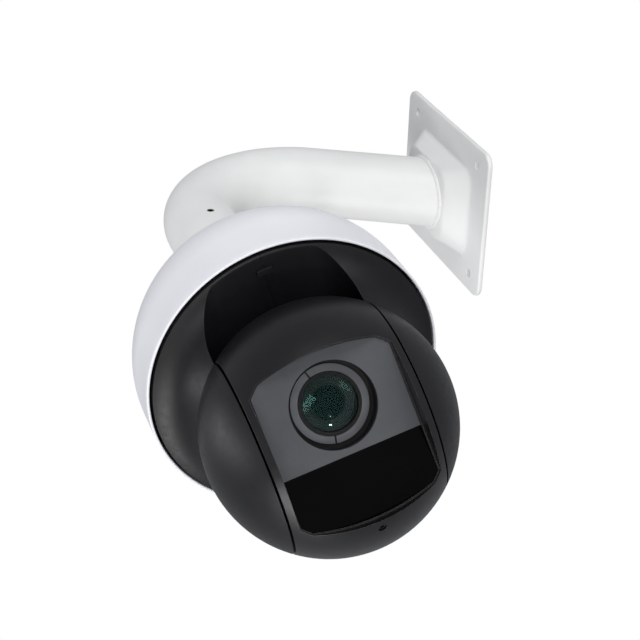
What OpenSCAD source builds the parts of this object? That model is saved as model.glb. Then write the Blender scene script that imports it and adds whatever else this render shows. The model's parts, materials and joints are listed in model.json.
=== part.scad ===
/* [Wall bracket] */
// Width of the wall plate, along Y
plate_w = 114; // [96:1:138]
// Height of the wall plate
plate_h = 144; // [120:1:173]
// Thickness of the wall plate's sheet
plate_t = 3.5; // [2.5:0.1:4.5]
// Radius of the wall plate's corners
plate_corner_r = 9; // [5:1:12]
// Radius of the four mounting holes
bolt_r = 3.5; // [2.5:0.1:4.5]
// From the plate's side edges to the holes
bolt_edge_y = 14; // [11:1:17]
// From the plate's top and bottom edges to the holes
bolt_edge_z = 18; // [14:1:22]
// How far the raised middle of the plate stands off
boss_h = 14; // [10:1:18]
// From the wall to the axis the camera pans about
reach = 196.5; // [180:0.5:240]
// Outer radius of the tube
tube_r = 25.9; // [24:0.1:31]
// Wall of the tube
tube_t = 2.4; // [1.6:0.1:3]
// Radius of the bend, at the middle of the tube
bend_r = 67.5; // [56:0.5:81]
// How steeply the tube rises from the wall plate, in degrees
arm_slope = 28.7; // [15:0.1:35]
// Height of the tube's axis where it meets the wall plate
arm_root_z = -5; // [-10:0.5:5]

/* [Cover] */
// Outer radius of the white cover
cover_r = 91.5; // [90.8:0.1:110]
// Wall of the white cover
cover_t = 1.6; // [1.2:0.1:2.4]
// Height of the cover's straight skirt
skirt_h = 28; // [23:1:34]
// Radius of the cover's rounded shoulder
dome_r = 79; // [76:1:84]
// From the tube's outside to the outside of the cover's neck
neck_step = 5.1; // [4.5:0.1:6]

/* [Turning housing] */
// Radius of the black housing at its upper rim
yoke_r = 88.3; // [84:0.1:89.3]
// Height of that rim above the ball's centre
rim_z = 57.5; // [54:0.5:60]
// Radius of the hollow flare below the rim
flare_r = 28.8; // [24:0.1:31]
// Radius of the arch's upper corners
arch_r = 16; // [13:0.5:20]
// Heading of the camera at rest, turned from square to the wall, in degrees
pan_rest = 15.4; // [0:0.1:60]

/* [Ball] */
// Outer radius of the ball
ball_r = 74.3; // [70:0.1:78]
// Half of the ball's width between its flat sides
ball_hw = 45.7; // [44:0.1:47]
// Wall of the ball's shells
shell_t = 2.4; // [1.8:0.1:2.8]
// Gap between the ball and the housing around it
ball_gap = 2.3; // [1.5:0.1:3]
// Gap between the ball's flat sides and the arms
side_gap = 1.2; // [0.8:0.1:1.6]
// Tilt of the lens below the horizon at rest, in degrees
tilt_rest = 61; // [0:1:80]
// From the ball's centre to its flat face
face_d = 47; // [44:0.5:50]
// Half of the face opening's width
face_hw = 41.6; // [39:0.1:42]
// Top of the face opening above the ball's centre
face_top = 49.2; // [47:0.1:51]
// Bottom of the face opening below the ball's centre
face_bottom = 48.4; // [46:0.1:50]
// Radius of the opening's curved top and bottom edges
face_arc_r = 120; // [100:1:144]
// Height of the lens axis above the ball's centre
lens_z = 17.5; // [16.5:0.1:18.5]
// Radius of the hole in the lens panel
lens_hole_r = 24.5; // [22.5:0.1:25]
// Height of the joint between the lens panel and the window
seam_z = -10.8; // [-12:0.1:-9]
// Outer radius of the lens barrel
barrel_r = 17.5; // [16.5:0.1:18.5]
// Travel of the zoom group along the lens axis
zoom_travel = 14; // [8:1:14]
// Travel of the filter across the lens axis
filter_travel = 10; // [6:1:10]

/* [Drives] */
// Gear module, pitch diameter over teeth
gear_m = 1; // [0.8:0.05:1]
// Teeth of the pan gear
pan_teeth = 80; // [70:1:84]
// Teeth of the pan pinion
pan_pinion_teeth = 16; // [14:1:18]
// Teeth of the tilt gear
tilt_teeth = 32; // [30:1:33]
// Teeth of the tilt pinion
tilt_pinion_teeth = 12; // [11:1:12]
// Radius of the tilt shafts
shaft_r = 6; // [5:0.1:6.5]
// Radial play of a running fit
fit = 0.05; // [0.02:0.01:0.09]

/* [Hidden] */
$fn = 96;
eps = 0.01;
big = 400;

// bracket
boss_top_x = -(plate_t + boss_h);
bend_end_x = -reach + bend_r * (1 + sin(arm_slope));
bend_end_z = arm_root_z - (bend_end_x + plate_t) * tan(arm_slope);
bend_z = bend_end_z - bend_r * cos(arm_slope);
tube_bore = tube_r - tube_t;
neck_r = tube_r + neck_step;
// heights above the ball's centre, from the ball upwards
yoke_top = ball_r + ball_gap + 5.4;
pan_plate_t = 2.5;
gear_h = 4.5;
deck_z = yoke_top + pan_plate_t;
base_z = deck_z + gear_h + 1;
base_t = 4;
base_top = base_z + base_t;
shoulder_z = rim_z + skirt_h;
cover_top = shoulder_z + dome_r;
housing_flat = cover_top - 10.5;
neck_top = cover_top + 7.5;
seal_t = 1.5;
ring_h = 8.5;
leg_end = neck_top + seal_t + ring_h + 4;
screw_up = leg_end + 56;
neck_end = screw_up + 10;
nipple_r = tube_bore - 0.2;
nipple_bore = nipple_r - 6.3;
// the ball's centre below the plate's middle
drop = leg_end + 77 - bend_z;
// arms
slot_hw = ball_hw + side_gap;
arm_plate_t = 2.2;
arm_plate_r = sqrt(pow(ball_r, 2) - pow(slot_hw, 2)) - 3.8;
pocket_r = ball_r - 2.5;
// fixed deck
housing_in = 6;
housing_t = 2.5;
deck_r = cover_r - housing_in - 0.5;
bearing_r = 22;
race_r = 18;
hub_r = 14;
pan_motor_at = (pan_teeth + pan_pinion_teeth) * gear_m / 2;
pan_motor_r = 17.5;
tilt_motor_at = (tilt_teeth + tilt_pinion_teeth) * gear_m / 2;
tilt_motor_r = 13;
tilt_gear_x = slot_hw + 14.7;
tilt_gear_t = 3.2;
screw_ring_r = 66;
// ball
side_in = ball_hw - shell_t;
face_circle = sqrt(pow(ball_r, 2) - pow(face_d, 2)) - 1.5;
panel_t = 2.4;
split_y = 12;
shell_screw_depth = 3.6;
shroud_r = lens_hole_r + 1.9;
ring_y = -face_d + 10.6;
barrel_y = ring_y - 0.4;
block_y = -6;
block_end = 42;
zoom_y = barrel_y + 8.8;
focus_y = zoom_y + 9 + zoom_travel + 9;

module at_ball() {
    translate([-reach, 0, -drop]) children();
}

module pan_frame() {
    at_ball() rotate([0, 0, -pan_rest]) children();
}

module tilt_frame() {
    pan_frame() rotate([tilt_rest, 0, 0]) children();
}

// along the lens axis: local z runs backwards from the given y
module lens_axis(y) {
    translate([0, y, lens_z]) rotate([-90, 0, 0]) children();
}

// extrudes a (y, z) outline along X
module along_x(x0, x1) {
    translate([x0, 0, 0]) rotate([90, 0, 90]) linear_extrude(x1 - x0) children();
}

// extrudes an (x, z) outline along Y
module along_y(y0, y1) {
    translate([0, y1, 0]) rotate([90, 0, 0]) linear_extrude(y1 - y0) children();
}

module band(hw) {
    cube([2 * hw, big, big], center = true);
}

module ring(r_out, r_in, h) {
    difference() {
        cylinder(r = r_out, h = h);
        translate([0, 0, -1]) cylinder(r = r_in, h = h + 2);
    }
}

module around(count, r, start = 0) {
    for (i = [0 : count - 1])
        rotate([0, 0, start + i * 360 / count]) translate([r, 0, 0]) children();
}

module rounded_rect(w, h, r) {
    hw = w / 2 - r;
    hh = h / 2 - r;
    square([w, 2 * hh], center = true);
    square([2 * hw, h], center = true);
    for (sx = [-1, 1], sy = [-1, 1])
        translate([sx * hw, sy * hh]) circle(r = r);
}

// straight-flanked gear outline: four points a tooth
function gear_points(n, turn) =
    let (rp = n * gear_m / 2, step = 360 / n, half = 90 / n,
        spread = [-1.25, -0.5, 0.5, 1.25], radius = [rp - 1.1 * gear_m, rp + 0.8 * gear_m])
    [for (i = [0 : n - 1], k = [0 : 3])
        let (a = turn + i * step + spread[k] * half, r = radius[k == 1 || k == 2 ? 1 : 0])
        [r * cos(a), r * sin(a)]];

/* wall bracket: the plate's back face lies on x = 0 */

module wall_block(w, h, r, x0, x1) {
    along_x(x0, x1) rounded_rect(w, h, r);
}

module raised_middle(inset) {
    foot_w = 70 - 2 * inset;
    foot_h = 94 - 2 * inset;
    top_w = 2 * tube_r + 6 - 2 * inset;
    top_h = 2 * tube_r / cos(arm_slope) + 8 - 2 * inset;
    hull() {
        wall_block(foot_w, foot_h, 12, -plate_t + inset + eps, -plate_t + inset + 0.1, $fn = 32);
        translate([0, 0, arm_root_z - boss_h * tan(-arm_slope)])
            wall_block(top_w, top_h, 14, boss_top_x + inset, boss_top_x + inset + 0.1, $fn = 32);
    }
}

module sloped_run(r, len) {
    translate([bend_end_x, 0, bend_end_z]) rotate([0, 90 + arm_slope, 0]) cylinder(r = r, h = len);
}

module wall_plate() color("whitesmoke") difference() {
    union() {
        wall_block(plate_w, plate_h, plate_corner_r, -plate_t, 0);
        raised_middle(0);
    }
    difference() {
        raised_middle(3);
        translate([-plate_t, -big / 2, -big / 2]) cube([big, big, big]);
    }
    wall_block(60, 84, 9, -plate_t - 1, 1);
    sloped_run(tube_bore, reach);
    for (sy = [-1, 1], sz = [-1, 1])
        translate([-plate_t - 1, sy * (plate_w / 2 - bolt_edge_y), sz * (plate_h / 2 - bolt_edge_z)])
            rotate([0, 90, 0]) cylinder(r = bolt_r, h = plate_t + 2);
}

// one end of the tube to the other, as a tube
module arm_bend() {
    translate([-reach + bend_r, 0, bend_z]) rotate([90, 0, 0]) rotate([0, 0, 90 - arm_slope])
        rotate_extrude(angle = 90 + arm_slope) translate([bend_r, 0]) difference() {
            circle(r = tube_r);
            circle(r = tube_bore);
        }
}

module bracket_arm() color("whitesmoke") union() {
    at_ball() difference() {
        translate([0, 0, leg_end]) ring(tube_r, tube_bore, bend_z + drop - leg_end);
        translate([0, 0, screw_up]) rotate([90, 0, 0]) cylinder(r = 2.5, h = 80, center = true);
    }
    arm_bend();
    difference() {
        sloped_run(tube_r, reach);
        translate([bend_end_x, 0, bend_end_z]) rotate([0, 90 + arm_slope, 0])
            translate([0, 0, -1]) cylinder(r = tube_bore, h = reach + 2);
        translate([boss_top_x, -big / 2, -big / 2]) cube([big, big, big]);
    }
    // backing rings of the two welds
    translate([-reach, 0, bend_z - 3]) ring(tube_bore + 0.5, tube_bore - 0.4, 6);
    translate([bend_end_x, 0, bend_end_z]) rotate([0, 90 + arm_slope, 0]) translate([0, 0, -3])
        ring(tube_bore + 0.5, tube_bore - 0.4, 6);
}

module arm_set_screws() color("dimgray") at_ball() for (s = [-1, 1])
    translate([0, s * nipple_r, screw_up]) rotate([-90 * s, 0, 0]) difference() {
        cylinder(r = 2.5, h = tube_r - nipple_r - 0.4);
        translate([0, 0, 0.9]) cylinder(r = 1.3, h = 4, $fn = 6);
    }

/* cover and fixed side: heights from the ball's centre */

module bell_2d(inset, foot) {
    translate([0, foot]) square([cover_r - inset, shoulder_z - foot]);
    translate([0, shoulder_z]) square([cover_r - dome_r, dome_r - inset]);
    intersection() {
        translate([cover_r - dome_r, shoulder_z]) circle(r = dome_r - inset);
        translate([0, shoulder_z]) square([big, big]);
    }
}

module sun_cover() color("white") at_ball() rotate_extrude() difference() {
    union() {
        bell_2d(0, rim_z);
        translate([0, shoulder_z]) square([neck_r, neck_top - shoulder_z]);
    }
    bell_2d(cover_t, rim_z - 1);
    translate([0, shoulder_z]) square([neck_r - 2.5, neck_top - 2.5 - shoulder_z]);
    translate([0, shoulder_z]) square([nipple_r + 0.3, big]);
}

module neck_seal() color("black") at_ball() translate([0, 0, neck_top])
    ring(neck_r - 1, nipple_r + 0.3, seal_t);

module lock_ring() color("silver") at_ball() translate([0, 0, neck_top + seal_t]) difference() {
    ring(neck_r, nipple_r, ring_h);
    around(12, neck_r) translate([0, 0, ring_h / 2]) cube([3, 4, ring_h + 2], center = true);
}

module mount_neck() color("silver") at_ball() difference() {
    union() {
        translate([0, 0, housing_flat]) cylinder(r = nipple_r + 10.7, h = 4);
        translate([0, 0, housing_flat]) cylinder(r = nipple_r + 2.7, h = neck_top - 2.5 - housing_flat);
        translate([0, 0, housing_flat]) cylinder(r = nipple_r, h = neck_end - housing_flat);
    }
    translate([0, 0, housing_flat - 1]) cylinder(r = nipple_bore, h = big);
}

module top_housing() color("silver") at_ball() {
    rotate_extrude() intersection() {
        difference() {
            bell_2d(housing_in, base_top);
            intersection() {
                bell_2d(housing_in + housing_t, base_top - 1);
                square([big, housing_flat - housing_t]);
            }
            square([nipple_bore, big]);
        }
        translate([0, base_top]) square([big, housing_flat - base_top]);
    }
    translate([0, 0, base_top]) around(6, deck_r - 4.7, 30) ring(4, 1.6, 10);
}

module base_chassis() color("lightsteelblue") at_ball() difference() {
    union() {
        translate([0, 0, base_z]) cylinder(r = deck_r, h = base_t);
        translate([0, 0, base_z]) cylinder(r = bearing_r + 2.5, h = 13);
    }
    translate([0, 0, base_z + 1.5]) cylinder(r = bearing_r, h = 20);
    translate([0, 0, base_z - 1]) cylinder(r = bearing_r - 3, h = 20);
    translate([pan_motor_at, 0, base_z - 1]) cylinder(r = 6, h = base_t + 2);
    translate([0, 0, base_z - 1]) around(6, deck_r - 4.7, 30) cylinder(r = 1.6, h = base_t + 2);
}

module housing_screws() color("gray") at_ball() translate([0, 0, base_z])
    around(6, deck_r - 4.7, 30) {
        translate([0, 0, -1.6]) cylinder(r = 3, h = 1.6);
        translate([0, 0, -eps]) cylinder(r = 1.6, h = 11);
    }

module main_board() color("darkgreen") at_ball() translate([0, 0, base_top + 45]) {
    cylinder(r = 54, h = 1.6);
    for (i = [-1, 0, 1]) translate([i * 24 - 8, -18, 1.6 - eps]) cube([16, 16, 2]);
    translate([-26, 12, 1.6 - eps]) cube([22, 12, 5]);
    translate([8, 14, 1.6 - eps]) cube([18, 8, 3]);
}

module power_board() color("seagreen") at_ball() translate([-74, -26, base_top]) {
    translate([0, 0, 10]) cube([38, 52, 1.6]);
    translate([4, 6, 11.6 - eps]) cube([20, 18, 14]);
    translate([12, 38, 11.6 - eps]) cylinder(r = 6, h = 14);
    translate([28, 38, 11.6 - eps]) cylinder(r = 5, h = 10);
    for (x = [3, 35], y = [3, 49]) translate([x, y, 0]) cylinder(r = 2, h = 10 + eps);
}

module board_standoffs() color("goldenrod") at_ball() translate([0, 0, base_top])
    around(4, 47, 45) cylinder(r = 3, h = 45, $fn = 6);

module pan_motor() color("dimgray") at_ball() translate([pan_motor_at, 0, base_top]) difference() {
    cylinder(r = pan_motor_r, h = 30);
    translate([0, 0, -1]) cylinder(r = 2.5 + fit, h = 8);
}

module pan_bearing_outer() color("silver") at_ball() translate([0, 0, base_z + 1.5])
    ring(bearing_r, race_r + fit, 10);

module slip_ring_stator() color("black") at_ball() translate([0, 0, base_top + 16]) difference() {
    cylinder(r = 13, h = 20);
    translate([0, 0, -1]) cylinder(r = 6 + fit, h = 18);
}

module slip_ring_stand() color("silver") at_ball() {
    translate([0, 0, base_top + 18]) ring(30, 13, 2);
    translate([0, 0, base_top]) around(3, 27.2, 60) cylinder(r = 2, h = 18.5);
}

/* turning side */

module pan_bearing_inner() color("silver") at_ball() translate([0, 0, base_z + 1.5])
    ring(race_r, hub_r, 10);

module pan_hub() color("silver") at_ball() difference() {
    union() {
        translate([0, 0, deck_z]) cylinder(r = bearing_r, h = 2.5);
        translate([0, 0, deck_z]) cylinder(r = race_r - 1, h = base_z + 1.5 - deck_z);
        translate([0, 0, deck_z]) cylinder(r = hub_r, h = base_z + 18 - deck_z);
    }
    translate([0, 0, deck_z - 1]) cylinder(r = 9, h = 60);
}

module hub_nut() color("goldenrod") at_ball() translate([0, 0, base_z + 11.5])
    ring(race_r - 0.5, hub_r, 4.5);

module pan_gear() color("ivory") at_ball() translate([0, 0, deck_z]) difference() {
    linear_extrude(gear_h) polygon(gear_points(pan_teeth, 0));
    translate([0, 0, -1]) cylinder(r = bearing_r + 0.2, h = gear_h + 2);
}

module pan_plate() color("silver") at_ball() translate([0, 0, yoke_top]) difference() {
    cylinder(r = yoke_r - 4.3, h = pan_plate_t);
    translate([0, 0, -1]) cylinder(r = 9, h = pan_plate_t + 2);
    rotate([0, 0, -pan_rest]) translate([0, 0, -1]) {
        around(8, screw_ring_r, 22.5) cylinder(r = 1.5, h = pan_plate_t + 2);
        around(2, cable_x()) cylinder(r = 5, h = pan_plate_t + 2);
    }
}

function cable_x() = slot_hw + 9;

module pan_screws() color("gray") pan_frame() translate([0, 0, deck_z]) around(8, screw_ring_r, 22.5) {
    cylinder(r = 2.8, h = 2);
    translate([0, 0, -13]) cylinder(r = 1.5, h = 13 + eps);
}

module slip_ring_rotor() color("dimgray") at_ball() {
    translate([0, 0, base_z + 9]) cylinder(r = 9, h = 5);
    translate([0, 0, base_z + 9]) cylinder(r = 6, h = base_top + 32 - base_z - 9);
}

module half_disc_2d(r) {
    intersection() {
        circle(r = r);
        translate([0, -r]) square([r, 2 * r]);
    }
}

module yoke_profile() {
    flare_x = yoke_r + 6.7;
    flare_z = rim_z - flare_r - 0.1;
    half_disc_2d(ball_r);
    difference() {
        translate([0, flare_z]) square([yoke_r, rim_z - flare_z]);
        translate([flare_x, flare_z]) circle(r = flare_r);
    }
    translate([0, rim_z - eps]) square([yoke_r, 14.5]);
    translate([0, rim_z]) square([yoke_r - 4.3, yoke_top - rim_z]);
}

module arch_2d() {
    top = rim_z - 1.2;
    translate([-slot_hw, -big / 2]) square([2 * slot_hw, big / 2 + top - arch_r]);
    translate([-slot_hw + arch_r, 0]) square([2 * (slot_hw - arch_r), top]);
    for (s = [-1, 1]) translate([s * (slot_hw - arch_r), top - arch_r]) circle(r = arch_r);
}

module roof_groove() {
    difference() {
        translate([0, 0, rim_z + 3.5]) ring(yoke_r - 7.3, 52, yoke_top);
        around(8, screw_ring_r, 22.5) {
            translate([-16, -1.5, 0]) cube([34, 3, yoke_top + 1]);
            cylinder(r = 4.5, h = yoke_top + 1);
        }
    }
}

// the left half; the right one is its mirror image
module yoke_half() difference() {
    intersection() {
        rotate_extrude() intersection() {
            yoke_profile();
            translate([0, -big]) square([big, big + yoke_top]);
        }
        translate([-big, -big / 2, -big / 2]) cube([big - 0.1, big, big]);
    }
    along_y(-120, 120) arch_2d();
    intersection() {
        sphere(r = ball_r + ball_gap);
        band(slot_hw);
    }
    roof_groove();
    along_x(-slot_hw - arm_plate_t, 1 - slot_hw) circle(r = arm_plate_r);
    intersection() {
        sphere(r = pocket_r);
        translate([-big, -big / 2, -big / 2]) cube([big - slot_hw - arm_plate_t + eps, big, big]);
    }
    translate([-cable_x(), 0, 20]) cylinder(r = 5, h = yoke_top);
    around(8, screw_ring_r, 22.5) translate([0, 0, yoke_top - 12]) cylinder(r = 1.5, h = 20);
}

module yoke_left() color([0.1, 0.1, 0.11]) pan_frame() yoke_half();

module yoke_right() color([0.1, 0.1, 0.11]) pan_frame() mirror([1, 0, 0]) yoke_half();

module roof_clip() color("black") pan_frame() translate([0, -ball_r - 4, rim_z - 2.6]) {
    cube([9, 3.6, 2.8], center = true);
}

module arm_plate(side) pan_frame() difference() {
    along_x(side > 0 ? slot_hw : -slot_hw - arm_plate_t, side > 0 ? slot_hw + arm_plate_t : -slot_hw)
        circle(r = arm_plate_r - 0.15);
    rotate([0, 90, 0]) cylinder(r = shaft_r + 2.5, h = big, center = true);
}

module arm_plate_left() color([0.14, 0.14, 0.15]) arm_plate(-1);

module arm_plate_right() color([0.14, 0.14, 0.15]) arm_plate(1);

module tilt_bush(side) pan_frame() translate([side > 0 ? slot_hw : -slot_hw - 4, 0, 0])
    rotate([0, 90, 0]) ring(shaft_r + 2.5, shaft_r + fit, 4);

module tilt_bush_left() color("goldenrod") tilt_bush(-1);

module tilt_bush_right() color("goldenrod") tilt_bush(1);

module tilt_motor() color("dimgray") pan_frame()
    translate([slot_hw + arm_plate_t, tilt_motor_at, 0]) rotate([0, 90, 0]) difference() {
        cylinder(r = tilt_motor_r, h = tilt_gear_x - slot_hw - arm_plate_t - 0.7);
        translate([0, 0, 6]) cylinder(r = 2 + fit, h = 20);
    }

module pan_pinion() color("goldenrod") at_ball() translate([pan_motor_at, 0, deck_z + 0.4]) {
    linear_extrude(gear_h - 0.6) polygon(gear_points(pan_pinion_teeth, 180 + 180 / pan_pinion_teeth));
    cylinder(r = 2.5, h = base_top + 5 - deck_z);
}

module tilt_pinion() color("goldenrod") pan_frame() translate([tilt_gear_x, tilt_motor_at, 0]) {
    rotate([90, 0, 90]) linear_extrude(tilt_gear_t)
        polygon(gear_points(tilt_pinion_teeth, 180 + 180 / tilt_pinion_teeth));
    translate([-5, 0, 0]) rotate([0, 90, 0]) cylinder(r = 2, h = 5 + tilt_gear_t);
}

/* ball: the lens looks along -Y before the ball is tilted */

// outline of the face opening, grown by the given distance
module face_2d(grow) {
    intersection() {
        square([2 * (face_hw + grow), big], center = true);
        translate([0, face_top - face_arc_r]) circle(r = face_arc_r + grow);
        translate([0, face_arc_r - face_bottom]) circle(r = face_arc_r + grow);
        circle(r = face_circle + grow);
    }
}

// outline of a round body of radius r cut flat at both sides, turned about X
module drum(r, hw) {
    rotate([0, 90, 0]) rotate([0, 0, -90]) rotate_extrude() intersection() {
        half_disc_2d(r);
        translate([0, -hw]) square([big, 2 * hw]);
    }
}

module shell_solid() {
    difference() {
        drum(ball_r, ball_hw);
        difference() {
            drum(ball_r - shell_t, side_in);
            along_y(-130, -face_d + shell_t) face_2d(shell_t);
        }
        along_y(-130, -face_d) face_2d(0);
        along_y(-face_d - 1, -face_d + shell_t + 1) face_2d(-0.9);
        rotate([0, 90, 0]) cylinder(r = shaft_r + 0.2, h = big, center = true);
        shell_screw_places() cylinder(r = 2.6, h = 2 * shell_screw_depth, center = true);
    }
}

// outward along local z, from the ball's surface
module shell_screw_places() {
    rotate([46, 0, 0]) translate([0, -ball_r, 0]) rotate([90, 0, 0]) children();
    for (a = [-40, 40]) rotate([a, 0, 0]) translate([0, ball_r, 0]) rotate([-90, 0, 0]) children();
}

module front_shell() color([0.1, 0.1, 0.11]) tilt_frame() intersection() {
    shell_solid();
    translate([-big / 2, -big, -big / 2]) cube([big, big + split_y, big]);
}

module rear_shell() color([0.1, 0.1, 0.11]) tilt_frame() intersection() {
    shell_solid();
    translate([-big / 2, split_y, -big / 2]) cube([big, big, big]);
}

module shell_screws() color("dimgray") tilt_frame() shell_screw_places()
    translate([0, 0, -shell_screw_depth]) difference() {
        cylinder(r = 2.6, h = shell_screw_depth - 0.8);
        translate([0, 0, 1.2]) cylinder(r = 1.2, h = 4, $fn = 6);
    }

module lens_panel() color([0.28, 0.29, 0.31]) tilt_frame() along_y(-face_d, -face_d + panel_t)
    difference() {
        intersection() {
            face_2d(-1.1);
            translate([-big / 2, seam_z + 0.15]) square([big, big]);
        }
        translate([0, lens_z]) circle(r = lens_hole_r);
    }

module ir_window() color([0.02, 0.02, 0.02]) tilt_frame() along_y(-face_d, -face_d + panel_t)
    intersection() {
        face_2d(-1.1);
        translate([-big / 2, seam_z - 0.15 - big]) square([big, big]);
    }

module face_carrier() color([0.15, 0.15, 0.15]) tilt_frame()
    along_y(-face_d + panel_t, -face_d + panel_t + 2) difference() {
        intersection() {
            face_2d(1.3);
            circle(r = sqrt(pow(ball_r - shell_t, 2) - pow(face_d - panel_t, 2)) - 0.3);
        }
        translate([0, lens_z]) circle(r = shroud_r + 0.2);
        translate([-34, -39]) square([68, 25]);
    }

module ir_board() color("darkgreen") tilt_frame() {
    along_y(-face_d + 8.9, -face_d + 10.5) translate([-38, -38]) square([76, 23]);
    for (x = [-36, 36], z = [-34, -18]) translate([x, -face_d + 8.9 + eps, z]) rotate([90, 0, 0])
        cylinder(r = 1.6, h = 6.9 - panel_t + eps);
}

module ir_lenses() color("white") tilt_frame() for (x = [-25, -15, -5, 5, 15, 25], z = [-32, -21])
    translate([x, -face_d + 8.9, z]) rotate([90, 0, 0]) {
        cylinder(r = 3.6, h = 3);
        translate([0, 0, 3 - eps]) cylinder(r1 = 3.6, r2 = 2.4, h = 1.6);
    }

module lens_shroud() color([0.05, 0.05, 0.05]) tilt_frame() lens_axis(-face_d + panel_t) {
    ring(shroud_r, lens_hole_r + 0.2, ring_y + 1.4 + face_d - panel_t);
    translate([0, 0, ring_y + 1.4 + face_d - panel_t]) ring(shroud_r, barrel_r + 0.3, 1.5);
}

module lens_ring() color([0.3, 0.31, 0.33]) tilt_frame() lens_axis(ring_y) difference() {
    ring(lens_hole_r - 2.5, barrel_r + 0.3, 1.4);
    for (a = [-107, -258]) rotate([0, 0, a]) translate([20, 0, 0]) cube([16, 0.9, 6], center = true);
}

module lens_barrel() color([0.04, 0.04, 0.04]) tilt_frame() lens_axis(barrel_y) difference() {
    cylinder(r = barrel_r, h = block_y - barrel_y);
    translate([0, 0, -1]) cylinder(r = barrel_r - 0.7, h = 4.8);
    translate([0, 0, -1]) cylinder(r = barrel_r - 3, h = big);
}

module lens_retainer() color([0.1, 0.1, 0.1]) tilt_frame() lens_axis(barrel_y + 0.2)
    ring(barrel_r - 0.7, barrel_r - 1.6, 1.4);

module front_lens() color([0.3, 0.5, 0.5, 0.5]) tilt_frame() lens_axis(barrel_y - 0.9)
    intersection() {
        translate([0, 0, 45]) sphere(r = 45);
        cylinder(r = barrel_r - 0.8, h = 4.7);
    }

module lens_hood() color([0.05, 0.05, 0.05]) tilt_frame() lens_axis(barrel_y + 4.2)
    rotate_extrude() polygon([[barrel_r - 3, 0], [barrel_r - 3, 1], [9.8, 3.6], [9.3, 3.2], [13.5, 0]]);

module camera_block() color([0.2, 0.2, 0.22]) tilt_frame() difference() {
    along_y(block_y, block_end) translate([0, lens_z]) square([44, 38], center = true);
    along_y(block_y + 2, block_end - 2) translate([0, lens_z]) square([40, 34], center = true);
    lens_axis(block_y - 1) cylinder(r = barrel_r - 3, h = 5);
}

module sensor_board() color("darkgreen") tilt_frame() {
    along_y(31, 32.6) translate([0, lens_z]) square([40, 34], center = true);
    along_y(29.4, 31 + eps) translate([0, lens_z]) square([12, 9], center = true);
}

module module_chassis() color("silver") tilt_frame() difference() {
    union() {
        for (s = [-1, 1]) translate([s * (side_in - 1) - 1, -15, -12]) cube([2, block_end + 15, 42]);
        translate([-side_in + 0.2, block_end, -12]) cube([2 * side_in - 0.4, 2.2, 42]);
    }
    rotate([0, 90, 0]) cylinder(r = shaft_r, h = big, center = true);
}

module tilt_shaft(side, x_end) tilt_frame() {
    translate([side * (side_in - 4.5), 0, 0]) rotate([0, side * 90, 0]) cylinder(r = 11, h = 2.5);
    translate([side * (side_in - 4.5), 0, 0]) rotate([0, side * 90, 0])
        cylinder(r = shaft_r, h = x_end - side_in + 4.5);
}

module tilt_shaft_left() color("silver") tilt_shaft(-1, slot_hw + 5);

module tilt_shaft_right() color("silver") tilt_shaft(1, tilt_gear_x + tilt_gear_t);

module tilt_gear() color("ivory") pan_frame() along_x(tilt_gear_x, tilt_gear_x + tilt_gear_t)
    difference() {
        polygon(gear_points(tilt_teeth, 0));
        circle(r = shaft_r);
    }

module zoom_carrier() color([0.12, 0.12, 0.12]) tilt_frame() lens_axis(zoom_y)
    ring(barrel_r - 3.4, 9, 9);

module zoom_lens() color([0.3, 0.5, 0.5, 0.5]) tilt_frame() lens_axis(zoom_y)
    cylinder(r = 9, h = 6);

module focus_carrier() color([0.12, 0.12, 0.12]) tilt_frame() lens_axis(focus_y) ring(13, 8, 6);

module focus_lens() color([0.3, 0.5, 0.5, 0.5]) tilt_frame() lens_axis(focus_y + 1) cylinder(r = 8, h = 4);

module ir_cut_filter() color("firebrick") tilt_frame() lens_axis(22) translate([filter_travel - 19, -8, 0])
    cube([2 * (19 - filter_travel), 16, 1.6]);

wall_plate();
bracket_arm();
arm_set_screws();
sun_cover();
neck_seal();
lock_ring();
mount_neck();
top_housing();
base_chassis();
housing_screws();
main_board();
power_board();
board_standoffs();
pan_motor();
pan_bearing_outer();
slip_ring_stator();
slip_ring_stand();
pan_bearing_inner();
pan_hub();
hub_nut();
pan_gear();
pan_plate();
pan_screws();
slip_ring_rotor();
yoke_left();
yoke_right();
roof_clip();
arm_plate_left();
arm_plate_right();
tilt_bush_left();
tilt_bush_right();
tilt_motor();
pan_pinion();
tilt_pinion();
front_shell();
rear_shell();
shell_screws();
lens_panel();
ir_window();
face_carrier();
ir_board();
ir_lenses();
lens_shroud();
lens_ring();
lens_barrel();
lens_retainer();
front_lens();
lens_hood();
camera_block();
sensor_board();
module_chassis();
tilt_shaft_left();
tilt_shaft_right();
tilt_gear();
zoom_carrier();
zoom_lens();
focus_carrier();
focus_lens();
ir_cut_filter();
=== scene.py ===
"""Looks of the camera: its finishes, and the pieces whose shape needs more than the CAD solids give."""
import json

import bpy
import numpy as np
from mathutils import Matrix, Vector


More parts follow.
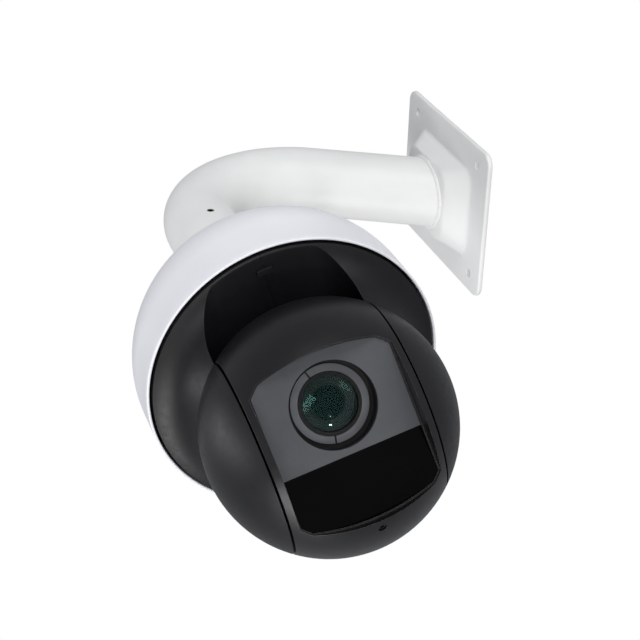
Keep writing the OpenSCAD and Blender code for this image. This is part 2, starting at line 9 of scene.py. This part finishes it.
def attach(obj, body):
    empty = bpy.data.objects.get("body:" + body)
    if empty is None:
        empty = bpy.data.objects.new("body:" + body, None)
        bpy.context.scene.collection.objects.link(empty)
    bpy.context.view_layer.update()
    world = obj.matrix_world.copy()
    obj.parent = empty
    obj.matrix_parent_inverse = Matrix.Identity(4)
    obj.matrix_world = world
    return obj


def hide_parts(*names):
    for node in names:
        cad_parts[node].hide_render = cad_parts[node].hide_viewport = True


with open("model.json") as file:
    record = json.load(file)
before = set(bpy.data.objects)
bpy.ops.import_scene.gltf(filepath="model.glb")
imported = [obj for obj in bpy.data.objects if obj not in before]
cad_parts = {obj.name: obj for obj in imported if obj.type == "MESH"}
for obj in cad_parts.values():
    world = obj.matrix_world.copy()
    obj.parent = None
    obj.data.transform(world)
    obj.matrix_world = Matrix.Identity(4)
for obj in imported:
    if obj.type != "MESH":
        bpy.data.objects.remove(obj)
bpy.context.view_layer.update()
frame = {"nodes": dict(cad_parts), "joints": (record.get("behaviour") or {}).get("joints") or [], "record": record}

# The row's own places, in metres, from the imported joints.
JOINTS = {joint["name"]: joint for joint in frame["joints"]}
BALL = np.array(JOINTS["pan"]["pos_m"], float)
TILT_AXIS = np.array(JOINTS["tilt"]["axis"], float)
LENS_BACK = np.array(JOINTS["zoom"]["axis"], float)
BALL_UP = np.cross(TILT_AXIS, LENS_BACK)

# Sizes in mm that repeat the part's own source.
TUBE_OUT, TUBE_IN = 25.9, 23.5
REACH, BEND, SLOPE = 196.5, 67.5, np.radians(28.7)
ARM_ROOT, SHEET, BOSS = -5.0, 3.5, 14.0
LEG_END = 186.0
LENS_UP = 17.5
BOLT_R, BOLT_Y, BOLT_Z = 3.5, 43, 54
SET_SCREW_R, SET_SCREW_UP = 2.5, 242
GLASS_R, GLASS_FRONT, GLASS_CURVE = 16.7, -37.7, 45


# ---------------------------------------------------------------- shapes

def from_ball(points):
    """Millimetres from the ball's centre, upright and square to the wall, as metres in the row's frame."""
    return np.asarray(points, float) * 0.001 + BALL


def from_lens(points):
    """Millimetres along (tilt axis, backwards along the lens, up the face), as metres in the row's frame:
    the ball's centre plus each coordinate times its unit direction."""
    axes = np.array([TILT_AXIS, LENS_BACK, BALL_UP])
    return np.asarray(points, float) @ axes * 0.001 + BALL


def plain(points):
    """Millimetres in the row's frame, as metres."""
    return np.asarray(points, float) * 0.001


def rounded(corners, radii, steps=6):
    """A closed outline with its corners rounded: each corner becomes the quadratic Bezier curve between
    the two points that lie one radius before and after it, with the corner as its middle control
    point."""
    corners = np.asarray(corners, float)
    radii = np.broadcast_to(np.asarray(radii, float), len(corners))[:, None]
    before, after = np.roll(corners, 1, 0) - corners, np.roll(corners, -1, 0) - corners
    reach_before = np.linalg.norm(before, axis=1, keepdims=True)
    reach_after = np.linalg.norm(after, axis=1, keepdims=True)
    start = corners + before / reach_before * np.minimum(radii, reach_before * 0.49)
    end = corners + after / reach_after * np.minimum(radii, reach_after * 0.49)
    t = np.linspace(0, 1, steps)[None, :, None]
    curve = (1 - t) ** 2 * start[:, None] + 2 * t * (1 - t) * corners[:, None] + t ** 2 * end[:, None]
    return curve.reshape(-1, corners.shape[1])


def turned(profile, count=160):
    """A profile of (radius, height) carried once round the vertical axis: the point at angle a is
    (radius cos a, radius sin a, height). Gives a grid of count by profile points."""
    profile = np.asarray(profile, float)
    a = np.linspace(0, 2 * np.pi, count, endpoint=False)[:, None]
    return np.stack([profile[:, 0] * np.cos(a), profile[:, 0] * np.sin(a), profile[:, 1] + 0 * a], -1)


def about_lens(profile, count=128):
    """A profile of (radius, distance behind the ball's centre) turned about the lens axis, in from_lens
    terms."""
    x, z, y = np.moveaxis(turned(profile, count), -1, 0)
    return np.stack([x, y, z + LENS_UP], -1)


def mesh_of(name, grid):
    """A mesh from a grid of points that closes on itself both ways: each quad joins a point to the next
    along, the next across and the one diagonal to it. The faces are turned round if the signed volume
    is negative."""
    rows, columns = grid.shape[:2]
    points = grid.reshape(-1, 3)
    index = np.arange(rows * columns).reshape(rows, columns)
    along, across = np.roll(index, -1, 0), np.roll(index, -1, 1)
    both = np.roll(along, -1, 1)
    quads = np.stack([index, along, both, across], -1).reshape(-1, 4)
    a, b, c, d = (points[quads[:, k]] for k in range(4))
    volume = np.einsum("ij,ij->i", a, np.cross(b, c)).sum() + np.einsum("ij,ij->i", a, np.cross(c, d)).sum()
    if volume < 0:
        quads = quads[:, ::-1]
    mesh = bpy.data.meshes.new(name)
    mesh.from_pydata(points.tolist(), [], quads.tolist())
    mesh.validate()
    mesh.update()
    return mesh


def piece(name, mesh, body, material, slot, *nodes, flat_angle=35):
    """A mesh as a piece that rides on a body and stands for CAD nodes, smooth but for edges over the
    angle."""
    made = bpy.data.objects.new(name, mesh)
    bpy.context.scene.collection.objects.link(made)
    made.data.materials.append(material)
    made.data.polygons.foreach_set("use_smooth", np.ones(len(made.data.polygons), bool))
    made.data.set_sharp_from_angle(angle=np.radians(flat_angle))
    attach(made, body)
    if nodes:
        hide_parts(*nodes)
    return made


def drilled(mesh, cutters):
    """The mesh with cylinders taken away: each cutter is (centre, direction, radius, length) in metres."""
    work = bpy.data.objects.new("work", mesh)
    bpy.context.scene.collection.objects.link(work)
    tools = []
    for centre, direction, radius, length in cutters:
        ring = rounded([[0, -length / 2], [radius, -length / 2], [radius, length / 2], [0, length / 2]], 0, 2)
        grid = turned(ring + [1e-7, 0], 48)
        turn = np.array(Vector((0, 0, 1)).rotation_difference(Vector(direction)).to_matrix())
        tool = bpy.data.objects.new("tool", mesh_of("tool", grid @ turn.T + np.asarray(centre)))
        bpy.context.scene.collection.objects.link(tool)
        cut = work.modifiers.new("cut", "BOOLEAN")
        cut.object = tool
        cut.solver = "EXACT"
        tools.append(tool)
    bpy.context.view_layer.update()
    result = bpy.data.meshes.new_from_object(work.evaluated_get(bpy.context.evaluated_depsgraph_get()))
    for used in [work] + tools:
        bpy.data.objects.remove(used)
    return result


# ---------------------------------------------------------------- finishes

def paint(code):
    """An sRGB hex colour as linear RGBA: below 0.04045 it is divided by 12.92, above it is a power of 2.4."""
    value = np.array([int(code[i:i + 2], 16) for i in (1, 3, 5)]) / 255
    linear = np.where(value <= 0.04045, value / 12.92, ((value + 0.055) / 1.055) ** 2.4)
    return (*linear.tolist(), 1.0)


def add(tree, kind, inputs=(), **settings):
    """Adds one node: settings are its properties, and inputs gives each socket a value or another
    node's output."""
    made = tree.nodes.new(kind)
    for key, value in settings.items():
        setattr(made, key, value)
    for key, value in dict(inputs).items():
        if isinstance(value, bpy.types.NodeSocket):
            tree.links.new(value, made.inputs[key])
        else:
            made.inputs[key].default_value = value
    return made


def started(name):
    """An empty material with its output and the piece's own coordinates in millimetres."""
    material = bpy.data.materials.new(name)
    material.use_nodes = True
    tree = material.node_tree
    tree.nodes.clear()
    output = add(tree, "ShaderNodeOutputMaterial")
    place = add(tree, "ShaderNodeTexCoord").outputs["Object"]
    mm = add(tree, "ShaderNodeVectorMath", {0: place, 1: (1000, 1000, 1000)}, operation="MULTIPLY").outputs[0]
    return material, tree, output, mm


def noise(tree, mm, period_mm, detail=3.0, rough=0.55):
    """Noise whose blotches are about period_mm across."""
    return add(tree, "ShaderNodeTexNoise", {"Vector": mm, "Scale": 1 / period_mm, "Detail": detail,
                                            "Roughness": rough}).outputs["Fac"]


def between(tree, fac, low, high, from_low=0.3, from_high=0.7):
    """Fac stretched to run from low to high."""
    return add(tree, "ShaderNodeMapRange", {"Value": fac, "From Min": from_low, "From Max": from_high,
                                            "To Min": low, "To Max": high}).outputs[0]


def tinted(tree, fac, dark, light):
    """A mix of two paints by fac."""
    made = add(tree, "ShaderNodeMix", {0: fac, 6: paint(dark), 7: paint(light)}, data_type="RGBA")
    return made.outputs[2]


def surfaced(name, dark, light, rough, grain_mm, relief_mm, blotch_mm=40.0, edge_mm=0.35, **shader):
    """A painted or moulded surface: two close paints in wide blotches, roughness that wanders between
    two values, a fine grain in relief, and edges softened by edge_mm."""
    material, tree, output, mm = started(name)
    wide = between(tree, noise(tree, mm, blotch_mm), 0, 1)
    fine = noise(tree, mm, grain_mm, 4.0)
    worn = noise(tree, mm, grain_mm * 9, 5.0, 0.7)
    soft = add(tree, "ShaderNodeBevel", {"Radius": edge_mm * 0.001}, samples=6).outputs[0]
    relief = add(tree, "ShaderNodeBump", {"Height": fine, "Distance": relief_mm * 0.001, "Strength": 0.6,
                                          "Normal": soft}).outputs[0]
    inputs = {"Base Color": tinted(tree, wide, dark, light), "Roughness": between(tree, worn, *rough),
              "Normal": relief}
    inputs.update(shader)
    lit = add(tree, "ShaderNodeBsdfPrincipled", inputs)
    tree.links.new(lit.outputs[0], output.inputs["Surface"])
    return material


# Steel with a satin polyester powder coat: slightly warm white, with the soft orange peel of the baked
# powder.
powder_coat = surfaced("powder_coated_steel", "#dededd", "#e6e6e5", (0.40, 0.52), 1.6, 0.06, 60.0, 0.6,
                       **{"Specular IOR Level": 0.45})
# Moulded ASA, polished tool: cool white, smooth, faint sink marks in the highlight.
cover_white = surfaced("moulded_white_asa", "#e4e5ea", "#eaebef", (0.30, 0.38), 2.4, 0.02, 80.0, 0.4)
# Moulded polycarbonate, fine spark-eroded grain: black that turns grey at glancing light.
housing_black = surfaced("moulded_black_polycarbonate", "#0d0d0f", "#131316", (0.36, 0.46), 0.45, 0.018,
                         30.0, 0.5, **{"Specular IOR Level": 0.30})
# Painted shell: soft black lacquer over the moulding, smoother than the housing.
shell_black = surfaced("lacquered_black_shell", "#0c0c0e", "#121214", (0.30, 0.38), 0.8, 0.010, 30.0, 0.5,
                       **{"Specular IOR Level": 0.38})
# Moulded ABS with a coarse matt grain: dark grey lens surround.
panel_grey = surfaced("textured_grey_abs", "#3a3c40", "#424448", (0.55, 0.68), 0.7, 0.07, 25.0, 0.35)
# Dyed acrylic, polished: black window with a very slight ripple in its reflection.
window_black = surfaced("polished_black_acrylic", "#020203", "#040405", (0.05, 0.11), 6.0, 0.004, 30.0, 0.3,
                        **{"IOR": 1.49, "Specular IOR Level": 0.06})
# Matt black paint inside the lens, with just enough sheen to show its rings.
lens_black = surfaced("matt_black_lens_paint", "#060607", "#0a0a0c", (0.44, 0.56), 0.5, 0.02, 10.0, 0.25,
                      **{"Specular IOR Level": 0.30})
# Moulded grey trim ring round the lens.
ring_grey = surfaced("satin_grey_trim", "#4a4c50", "#55575b", (0.34, 0.44), 0.4, 0.01, 12.0, 0.3)
# Zinc die casting, left as cast.
die_cast = surfaced("die_cast_zinc", "#9a9da1", "#aeb1b4", (0.42, 0.58), 1.2, 0.06, 20.0, 0.4, Metallic=1.0)
# Turned aluminium.
turned_aluminium = surfaced("turned_aluminium", "#b9bbbd", "#c9cbcc", (0.24, 0.36), 0.5, 0.01, 20.0, 0.3,
                            Metallic=1.0)
# Plain steel.
plain_steel = surfaced("zinc_plated_steel", "#8e8f90", "#a4a5a6", (0.26, 0.40), 0.6, 0.01, 15.0, 0.2,
                       Metallic=1.0)
# Black oxide on steel screws.
black_steel = surfaced("black_oxide_steel", "#2a2a2c", "#38383a", (0.30, 0.44), 0.5, 0.01, 8.0, 0.2,
                       Metallic=1.0)
# Turned brass.
turned_brass = surfaced("turned_brass", "#b7924e", "#c8a563", (0.24, 0.38), 0.5, 0.01, 12.0, 0.2,
                        Metallic=1.0)
# Natural nylon gears.
gear_nylon = surfaced("moulded_natural_nylon", "#d8d3c2", "#e4e0d2", (0.40, 0.50), 0.8, 0.02, 12.0, 0.2)
# Moulded nitrile rubber.
seal_rubber = surfaced("moulded_nitrile_rubber", "#101010", "#1a1a1a", (0.62, 0.78), 0.6, 0.03, 12.0, 0.3)
# Painted motor cans.
motor_paint = surfaced("stoved_black_enamel", "#1d1d20", "#27272a", (0.36, 0.48), 1.0, 0.02, 20.0, 0.4)
# Green solder mask over glass-fibre board.
solder_mask = surfaced("green_solder_mask", "#0d3b22", "#12492b", (0.22, 0.34), 1.0, 0.02, 9.0, 0.2)


def glass(name, tint, glint, ior=1.55):
    """Polished optical glass: the tint colours what is seen through it, and the antireflection film's
    colour goes into the glint."""
    material, tree, output, mm = started(name)
    haze = between(tree, noise(tree, mm, 14.0, 4.0), 0.0, 0.002)
    lit = add(tree, "ShaderNodeBsdfPrincipled", {
        "Base Color": paint(tint), "Roughness": haze, "IOR": ior, "Transmission Weight": 1.0,
        "Specular Tint": paint(glint)})
    tree.links.new(lit.outputs[0], output.inputs["Surface"])
    return material


front_glass = glass("coated_front_element", "#f4f8f7", "#5d8f88")
# Inner elements: the near-black tint and the dim glint colour are painted shade for the dark inside of the lens
# barrel, not the glass's own colour.
inner_glass_painted_shade = glass("coated_inner_element", "#20282b", "#2c3a40")
filter_glass = glass("infrared_cut_filter", "#d46a70", "#b05a60")

FINISH = {
    "bracket_powder_coat": powder_coat, "cover_white": cover_white, "housing_black": housing_black,
    "shell_black": shell_black, "panel_grey": panel_grey, "window_black": window_black,
    "lens_black": lens_black, "ring_grey": ring_grey, "lens_glass": inner_glass_painted_shade,
    "machined_aluminium": turned_aluminium, "die_cast_aluminium": die_cast, "steel": plain_steel,
    "black_steel": black_steel, "brass": turned_brass, "nylon": gear_nylon, "rubber": seal_rubber,
    "motor_paint": motor_paint, "circuit_board": solder_mask, "filter_glass": filter_glass,
}

for entry in frame["record"]["subparts"]:
    cad = frame["nodes"][entry["node"]]
    cad.data.materials.clear()
    cad.data.materials.append(FINISH[entry["material_slot"]])


# ---------------------------------------------------------------- wall bracket

def arm_path():
    """The tube's centre line as points and unit directions: straight up the leg, round the bend at a constant
    radius, then straight down the slope to the plate. Only x and z change."""
    bend_x = -REACH + BEND
    end = np.array([bend_x + BEND * np.sin(SLOPE), 0])
    end[1] = ARM_ROOT - (end[0] + SHEET) * np.tan(SLOPE)
    bend_z = end[1] - BEND * np.cos(SLOPE)
    a = np.linspace(np.pi, np.pi / 2 - SLOPE, 56)
    bend = np.stack([bend_x + BEND * np.cos(a), bend_z + BEND * np.sin(a)], -1)
    bend_way = np.stack([np.sin(a), -np.cos(a)], -1)
    bottom = BALL[2] * 1000 + LEG_END
    leg = np.stack([np.full(12, -REACH), np.linspace(bottom, bend_z, 12, endpoint=False)], -1)
    leg_way = np.broadcast_to([0.0, 1.0], leg.shape)
    way = np.array([np.cos(SLOPE), -np.sin(SLOPE)])
    run = end + np.linspace(0, 1, 14)[1:, None] * ((-SHEET - BOSS - end[0]) / way[0]) * way
    run_way = np.broadcast_to(way, run.shape)
    return np.concatenate([leg, bend, run]), np.concatenate([leg_way, bend_way, run_way])


def tube_wall(radius, count, last_x):
    """Circles of one radius set square to the path, except that the last one slides along the path's
    direction to lie in the plane x = last_x."""
    path, way = arm_path()
    a = np.linspace(0, 2 * np.pi, count, endpoint=False)[None, :, None]
    centre = np.insert(path, 1, 0, axis=1)[:, None]
    along = np.insert(way, 1, 0, axis=1)[:, None]
    side = np.array([0.0, 1.0, 0.0])
    up = np.cross(along, side)
    wall = centre + radius * (np.cos(a) * side + np.sin(a) * up)
    slide = (last_x - wall[-1, :, 0]) / along[-1, :, 0]
    wall[-1] += slide[:, None] * along[-1]
    return wall


def bracket_tube():
    """The tube's outer wall up and its inner wall back down, with a small radius on the free end's rim."""
    outer, inner = tube_wall(TUBE_OUT, 128, -SHEET - BOSS + 0.3), tube_wall(TUBE_IN, 128, -SHEET - BOSS + 0.3)
    rim = np.linspace(0, np.pi, 9)[:, None, None]
    middle, half = (outer[0] + inner[0]) / 2, (outer[0] - inner[0]) / 2
    lip = middle + np.cos(rim[::-1]) * half - np.array([0, 0, 1]) * np.sin(rim) * 0.9
    lip[..., 2] += 0.9
    return np.concatenate([lip[:-1], outer[1:], inner[:0:-1]])


screw_z = BALL[2] + SET_SCREW_UP * 0.001
arm_mesh = drilled(mesh_of("bracket_tube", plain(bracket_tube())),
                   [((-REACH * 0.001, 0, screw_z), (0, 1, 0), SET_SCREW_R * 0.001, 0.08)])
piece("bracket_tube", arm_mesh, "fixed", powder_coat, "bracket_powder_coat", "bracket_arm")


def rounded_frame(half_y, half_z, corner, centre_z=0.0, per_side=14, per_corner=10):
    """A rounded rectangle as (y, z) points: each quarter is one straight side then one arc, evenly
    shared out, so that two frames of different sizes match point for point."""
    t = np.linspace(0, 1, per_side, endpoint=False)[:, None]
    a = np.linspace(0, np.pi / 2, per_corner, endpoint=False)
    y, z = half_y - corner, half_z - corner
    sides = [((half_y, -z), (half_y, z)), ((y, half_z), (-y, half_z)),
             ((-half_y, z), (-half_y, -z)), ((-y, -half_z), (y, -half_z))]
    middles = [(y, z), (-y, z), (-y, -z), (y, -z)]
    parts = []
    for turn, ((start, end), middle) in enumerate(zip(sides, middles)):
        parts.append(np.array(start) + t * (np.array(end) - np.array(start)))
        arc = a + turn * np.pi / 2
        parts.append(np.array(middle) + corner * np.stack([np.cos(arc), np.sin(arc)], -1))
    return np.concatenate(parts) + [0, centre_z]


def pressed_plate():
    """The sheet as matching rings from the tube's bore out to the rim and back behind. Between the
    raised top and the flat rim the sheet follows a straight slope with softened ends: half the
    difference of two square roots."""
    top_z = ARM_ROOT + BOSS * np.tan(SLOPE)
    rim, foot = rounded_frame(57, 72, 9), rounded_frame(35, 47, 12)
    top = rounded_frame(28.9, 33.5, 14, top_z)
    bearing = np.arctan2((top[:, 1] - top_z) * np.cos(SLOPE), top[:, 0])
    hole = np.stack([TUBE_IN * np.cos(bearing), TUBE_IN / np.cos(SLOPE) * np.sin(bearing) + top_z], -1)
    v = np.linspace(-0.55, 1.45, 40)
    soft = 0.1
    climb = 0.5 + 0.5 * (np.sqrt(v ** 2 + soft ** 2) - np.sqrt((v - 1) ** 2 + soft ** 2))
    climb = (climb - climb[0]) / (climb[-1] - climb[0])
    inside = hole + (top - hole) * np.linspace(0, 1, 5)[:3, None, None]
    slope = top + (foot - top) * v[:, None, None]
    slope = slope[v > -0.3]
    height = 1 - climb[v > -0.3]
    outside = slope[-1] + (rim - slope[-1]) * np.linspace(0, 1, 9)[1:, None, None]
    sheet = np.concatenate([inside, slope, outside])
    level = np.concatenate([np.ones(3), height, np.zeros(8)])
    x = -SHEET - BOSS * level[:, None]
    front = np.concatenate([np.broadcast_to(x[..., None], sheet.shape[:2] + (1,)), sheet], -1)
    back = front.copy()
    back[..., 0] += SHEET
    a = np.linspace(0, np.pi, 9)[1:-1, None]
    inset = rim * (1 - 0.8 / np.abs(rim).max(1, keepdims=True))
    edge_yz = inset + (rim - inset) * np.sin(a)[:, None]
    front[-1, :, 1:] = inset
    back[-1, :, 1:] = inset
    edge_x = (-SHEET / 2 - SHEET / 2 * np.cos(a))[:, :, None] + 0 * edge_yz[..., :1]
    edge = np.concatenate([edge_x, edge_yz], -1)
    return np.concatenate([front, edge, back[::-1]])


holes = [((0, y * 0.001, z * 0.001), (1, 0, 0), BOLT_R * 0.001, 0.02)
         for y in (-BOLT_Y, BOLT_Y) for z in (-BOLT_Z, BOLT_Z)]
plate_mesh = drilled(mesh_of("pressed_plate", plain(pressed_plate())), holes)
piece("pressed_plate", plate_mesh, "fixed", powder_coat, "bracket_powder_coat", "wall_plate")


def weld_bead():
    """A bead round the joint: a small circle carried round the ellipse where the tube meets the raised top,
    swelling and shrinking a little at every 4 mm as the weld's ripples do."""
    a = np.linspace(0, 2 * np.pi, 360, endpoint=False)[:, None]
    b = np.linspace(0, 2 * np.pi, 20, endpoint=False)[None]
    radius = 1.9 + 0.10 * np.sin(a * 44) + 0.12 * np.sin(a * 5 + 1)
    out = TUBE_OUT - 0.2 + radius * np.cos(b)
    y = out * np.cos(a)
    z = out / np.cos(SLOPE) * np.sin(a) + ARM_ROOT + BOSS * np.tan(SLOPE)
    x = -SHEET - BOSS - 0.1 + radius * np.sin(b) * 0.9
    return np.stack([x + 0 * y, y, z], -1)


piece("weld_bead", mesh_of("weld_bead", plain(weld_bead())), "fixed", powder_coat, "bracket_powder_coat")


# ---------------------------------------------------------------- cover

def cover_profile():
    """Half the cover's section as (radius, height): straight skirt, a circular shoulder about a centre
    12.5 mm out, a short neck with a flat top, and the same again 1.6 mm inside."""
    outer_end, inner_end = np.arccos((31 - 12.5) / 79), np.arccos((28.5 - 12.5) / 77.4)
    a = np.linspace(0.0, outer_end - 0.05, 60)[:, None]
    b = np.linspace(inner_end, 0.0, 60)[:, None]
    outer = np.array([12.5, 85.5]) + 79 * np.concatenate([np.cos(a), np.sin(a)], 1)
    inner = np.array([12.5, 85.5]) + 77.4 * np.concatenate([np.cos(b), np.sin(b)], 1)
    lip = rounded([[89.9, 62], [89.9, 57.5], [91.5, 57.5], [91.5, 62]], [0.1, 0.7, 0.7, 0.1], 5)[3:-3]
    corners = [[34.5, 161.5], [31, 162.6], [31, 172], [23.6, 172], [23.6, 169.5], [28.5, 169.5], [28.5, 163]]
    neck = rounded(corners, [0.2, 3.0, 1.2, 0.5, 0.3, 0.8, 0.2], 6)[5:-5]
    return np.concatenate([lip, outer, neck, inner])


piece("domed_cover", mesh_of("domed_cover", from_ball(turned(cover_profile(), 256))), "fixed", cover_white,
      "cover_white", "sun_cover")


# ---------------------------------------------------------------- lens

def lens_element():
    """The front element's section: an arc of radius 45 mm in front, a shallow hollow of radius 120 mm behind
    and a ground edge, as (radius, depth) with the depth negative towards the front."""
    r = np.linspace(GLASS_R, 0.001, 28)
    front = np.stack([r, GLASS_FRONT + GLASS_CURVE - np.sqrt(GLASS_CURVE ** 2 - r ** 2)], -1)
    back = np.stack([r[::-1], -34.6 + 120 - np.sqrt(120 ** 2 - r[::-1] ** 2)], -1)
    back[-1, 1] = -33.0
    return np.concatenate([front, back])


piece("front_element", mesh_of("front_element", from_lens(about_lens(lens_element()))), "tilt", front_glass,
      "lens_glass", "front_lens")


def stepped_baffle():
    """The funnel behind the front element, as (radius, depth): from radius 14.4 inwards in five ledges, each
    0.96 mm wide and 0.53 mm behind the last, then a half-round lip at the pupil and a plain back."""
    ledge = np.arange(5)
    tread = np.stack([14.4 - ledge, -32.2 + 0.65 * ledge], -1)
    riser = tread + [-0.96, 0.12]
    front = np.stack([tread, riser], 1).reshape(-1, 2)
    a = np.linspace(np.pi / 2, -np.pi / 2, 7)[:, None]
    lip = np.array([9.3, -28.6]) + 0.45 * np.concatenate([-np.cos(a), -np.sin(a)], 1)
    back = np.array([[12.0, -29.4], [14.4, -31.0]])
    return np.concatenate([front, lip, back])


piece("stepped_baffle", mesh_of("stepped_baffle", from_lens(about_lens(stepped_baffle()))), "tilt",
      lens_black, "lens_black", "lens_hood")


def retaining_ring():
    """A thin threaded ring that holds the front element: a rounded bar 1 mm wide and 1.6 mm deep."""
    return rounded([[15.9, -37.0], [16.75, -37.0], [16.75, -35.2], [15.9, -35.2]], 0.25, 4)


piece("retaining_ring", mesh_of("retaining_ring", from_lens(about_lens(retaining_ring()))), "tilt",
      lens_black, "lens_black", "lens_retainer")


# ---------------------------------------------------------------- camera, light and background

RIGHT = np.array([0.94119, -0.02439, -0.33699])
UP = np.array([0.14674, -0.8689, 0.47273])
BACK = -np.array([0.30434, 0.49438, 0.81423])
EYE = BALL + np.array([-0.24787, -0.46206, -0.64412])

lens = bpy.data.cameras.new("camera")
lens.lens = 82.04
lens.sensor_width = 36
lens.clip_start = 0.01
eye = bpy.data.objects.new("camera", lens)
bpy.context.scene.collection.objects.link(eye)
pose = np.eye(4)
pose[:3, 0], pose[:3, 1], pose[:3, 2], pose[:3, 3] = RIGHT, UP, BACK, EYE
eye.matrix_world = Matrix(pose.tolist())
bpy.context.scene.camera = eye


def lamp(name, place, target, width, height, watts):
    """A rectangular area light at a place, turned to face the target."""
    light = bpy.data.lights.new(name, "AREA")
    light.shape, light.size, light.size_y, light.energy = "RECTANGLE", width, height, watts
    made = bpy.data.objects.new(name, light)
    bpy.context.scene.collection.objects.link(made)
    made.location = place.tolist()
    made.rotation_euler = Vector((target - place).tolist()).to_track_quat("-Z", "Y").to_euler()


def softbox(name, across, above, behind, width, height, watts):
    """A lamp placed from the ball along the camera's own axes, facing the ball."""
    lamp(name, BALL + across * RIGHT + above * UP + behind * BACK, BALL, width, height, watts)


def glint(name, across, up, size, watts):
    """A small lamp whose reflection shows on the front element at (across, up) mm from its middle. It
    lies along the direction to the eye mirrored in the surface's normal, which points away from the
    arc's centre."""
    centre_depth = GLASS_FRONT + GLASS_CURVE
    centre = from_lens([0, centre_depth, LENS_UP])
    spot = from_lens([across, centre_depth - np.sqrt(GLASS_CURVE ** 2 - across ** 2 - up ** 2), LENS_UP + up])
    normal = (spot - centre) / np.linalg.norm(spot - centre)
    view = (EYE - spot) / np.linalg.norm(EYE - spot)
    lamp(name, spot + 0.9 * (2 * normal.dot(view) * normal - view), spot, size, size, watts)


softbox("key", 0.0, 1.5, 1.3, 1.2, 0.9, 21)
softbox("fill", 1.3, 0.8, 1.0, 0.7, 1.0, 6)
softbox("front", -0.3, -0.3, 1.9, 1.0, 0.6, 10)
softbox("under", -0.5, -1.5, 0.5, 1.2, 0.5, 16)
softbox("left_edge", -1.6, -0.3, -0.1, 0.4, 1.4, 6)
glint("upper_glint", -2.3, -6.4, 0.035, 0.5)
glint("lower_glint", -3.9, -11.0, 0.05, 1.0)

world = bpy.data.worlds.new("studio")
bpy.context.scene.world = world
world.use_nodes = True
sky = world.node_tree
sky.nodes.clear()
seen = add(sky, "ShaderNodeLightPath").outputs["Is Camera Ray"]
bright = add(sky, "ShaderNodeBackground", {"Color": (1, 1, 1, 1), "Strength": 1.0})
room = add(sky, "ShaderNodeBackground", {"Color": (0.93, 0.95, 1.0, 1), "Strength": 0.38})
both = add(sky, "ShaderNodeMixShader", {0: seen, 1: room.outputs[0], 2: bright.outputs[0]})
add(sky, "ShaderNodeOutputWorld", {"Surface": both.outputs[0]})

bpy.context.scene.view_settings.view_transform = "Standard"

ground = bpy.data.meshes.new("floor")
ground.from_pydata([(-4, -4, -1.9), (4, -4, -1.9), (4, 4, -1.9), (-4, 4, -1.9)], [], [(0, 1, 2, 3)])
floor = bpy.data.objects.new("floor", ground)
bpy.context.scene.collection.objects.link(floor)
floor.data.materials.append(surfaced("pale_studio_floor", "#e4e4e2", "#eaeae8", (0.6, 0.7), 3.0, 0.02, 300.0))
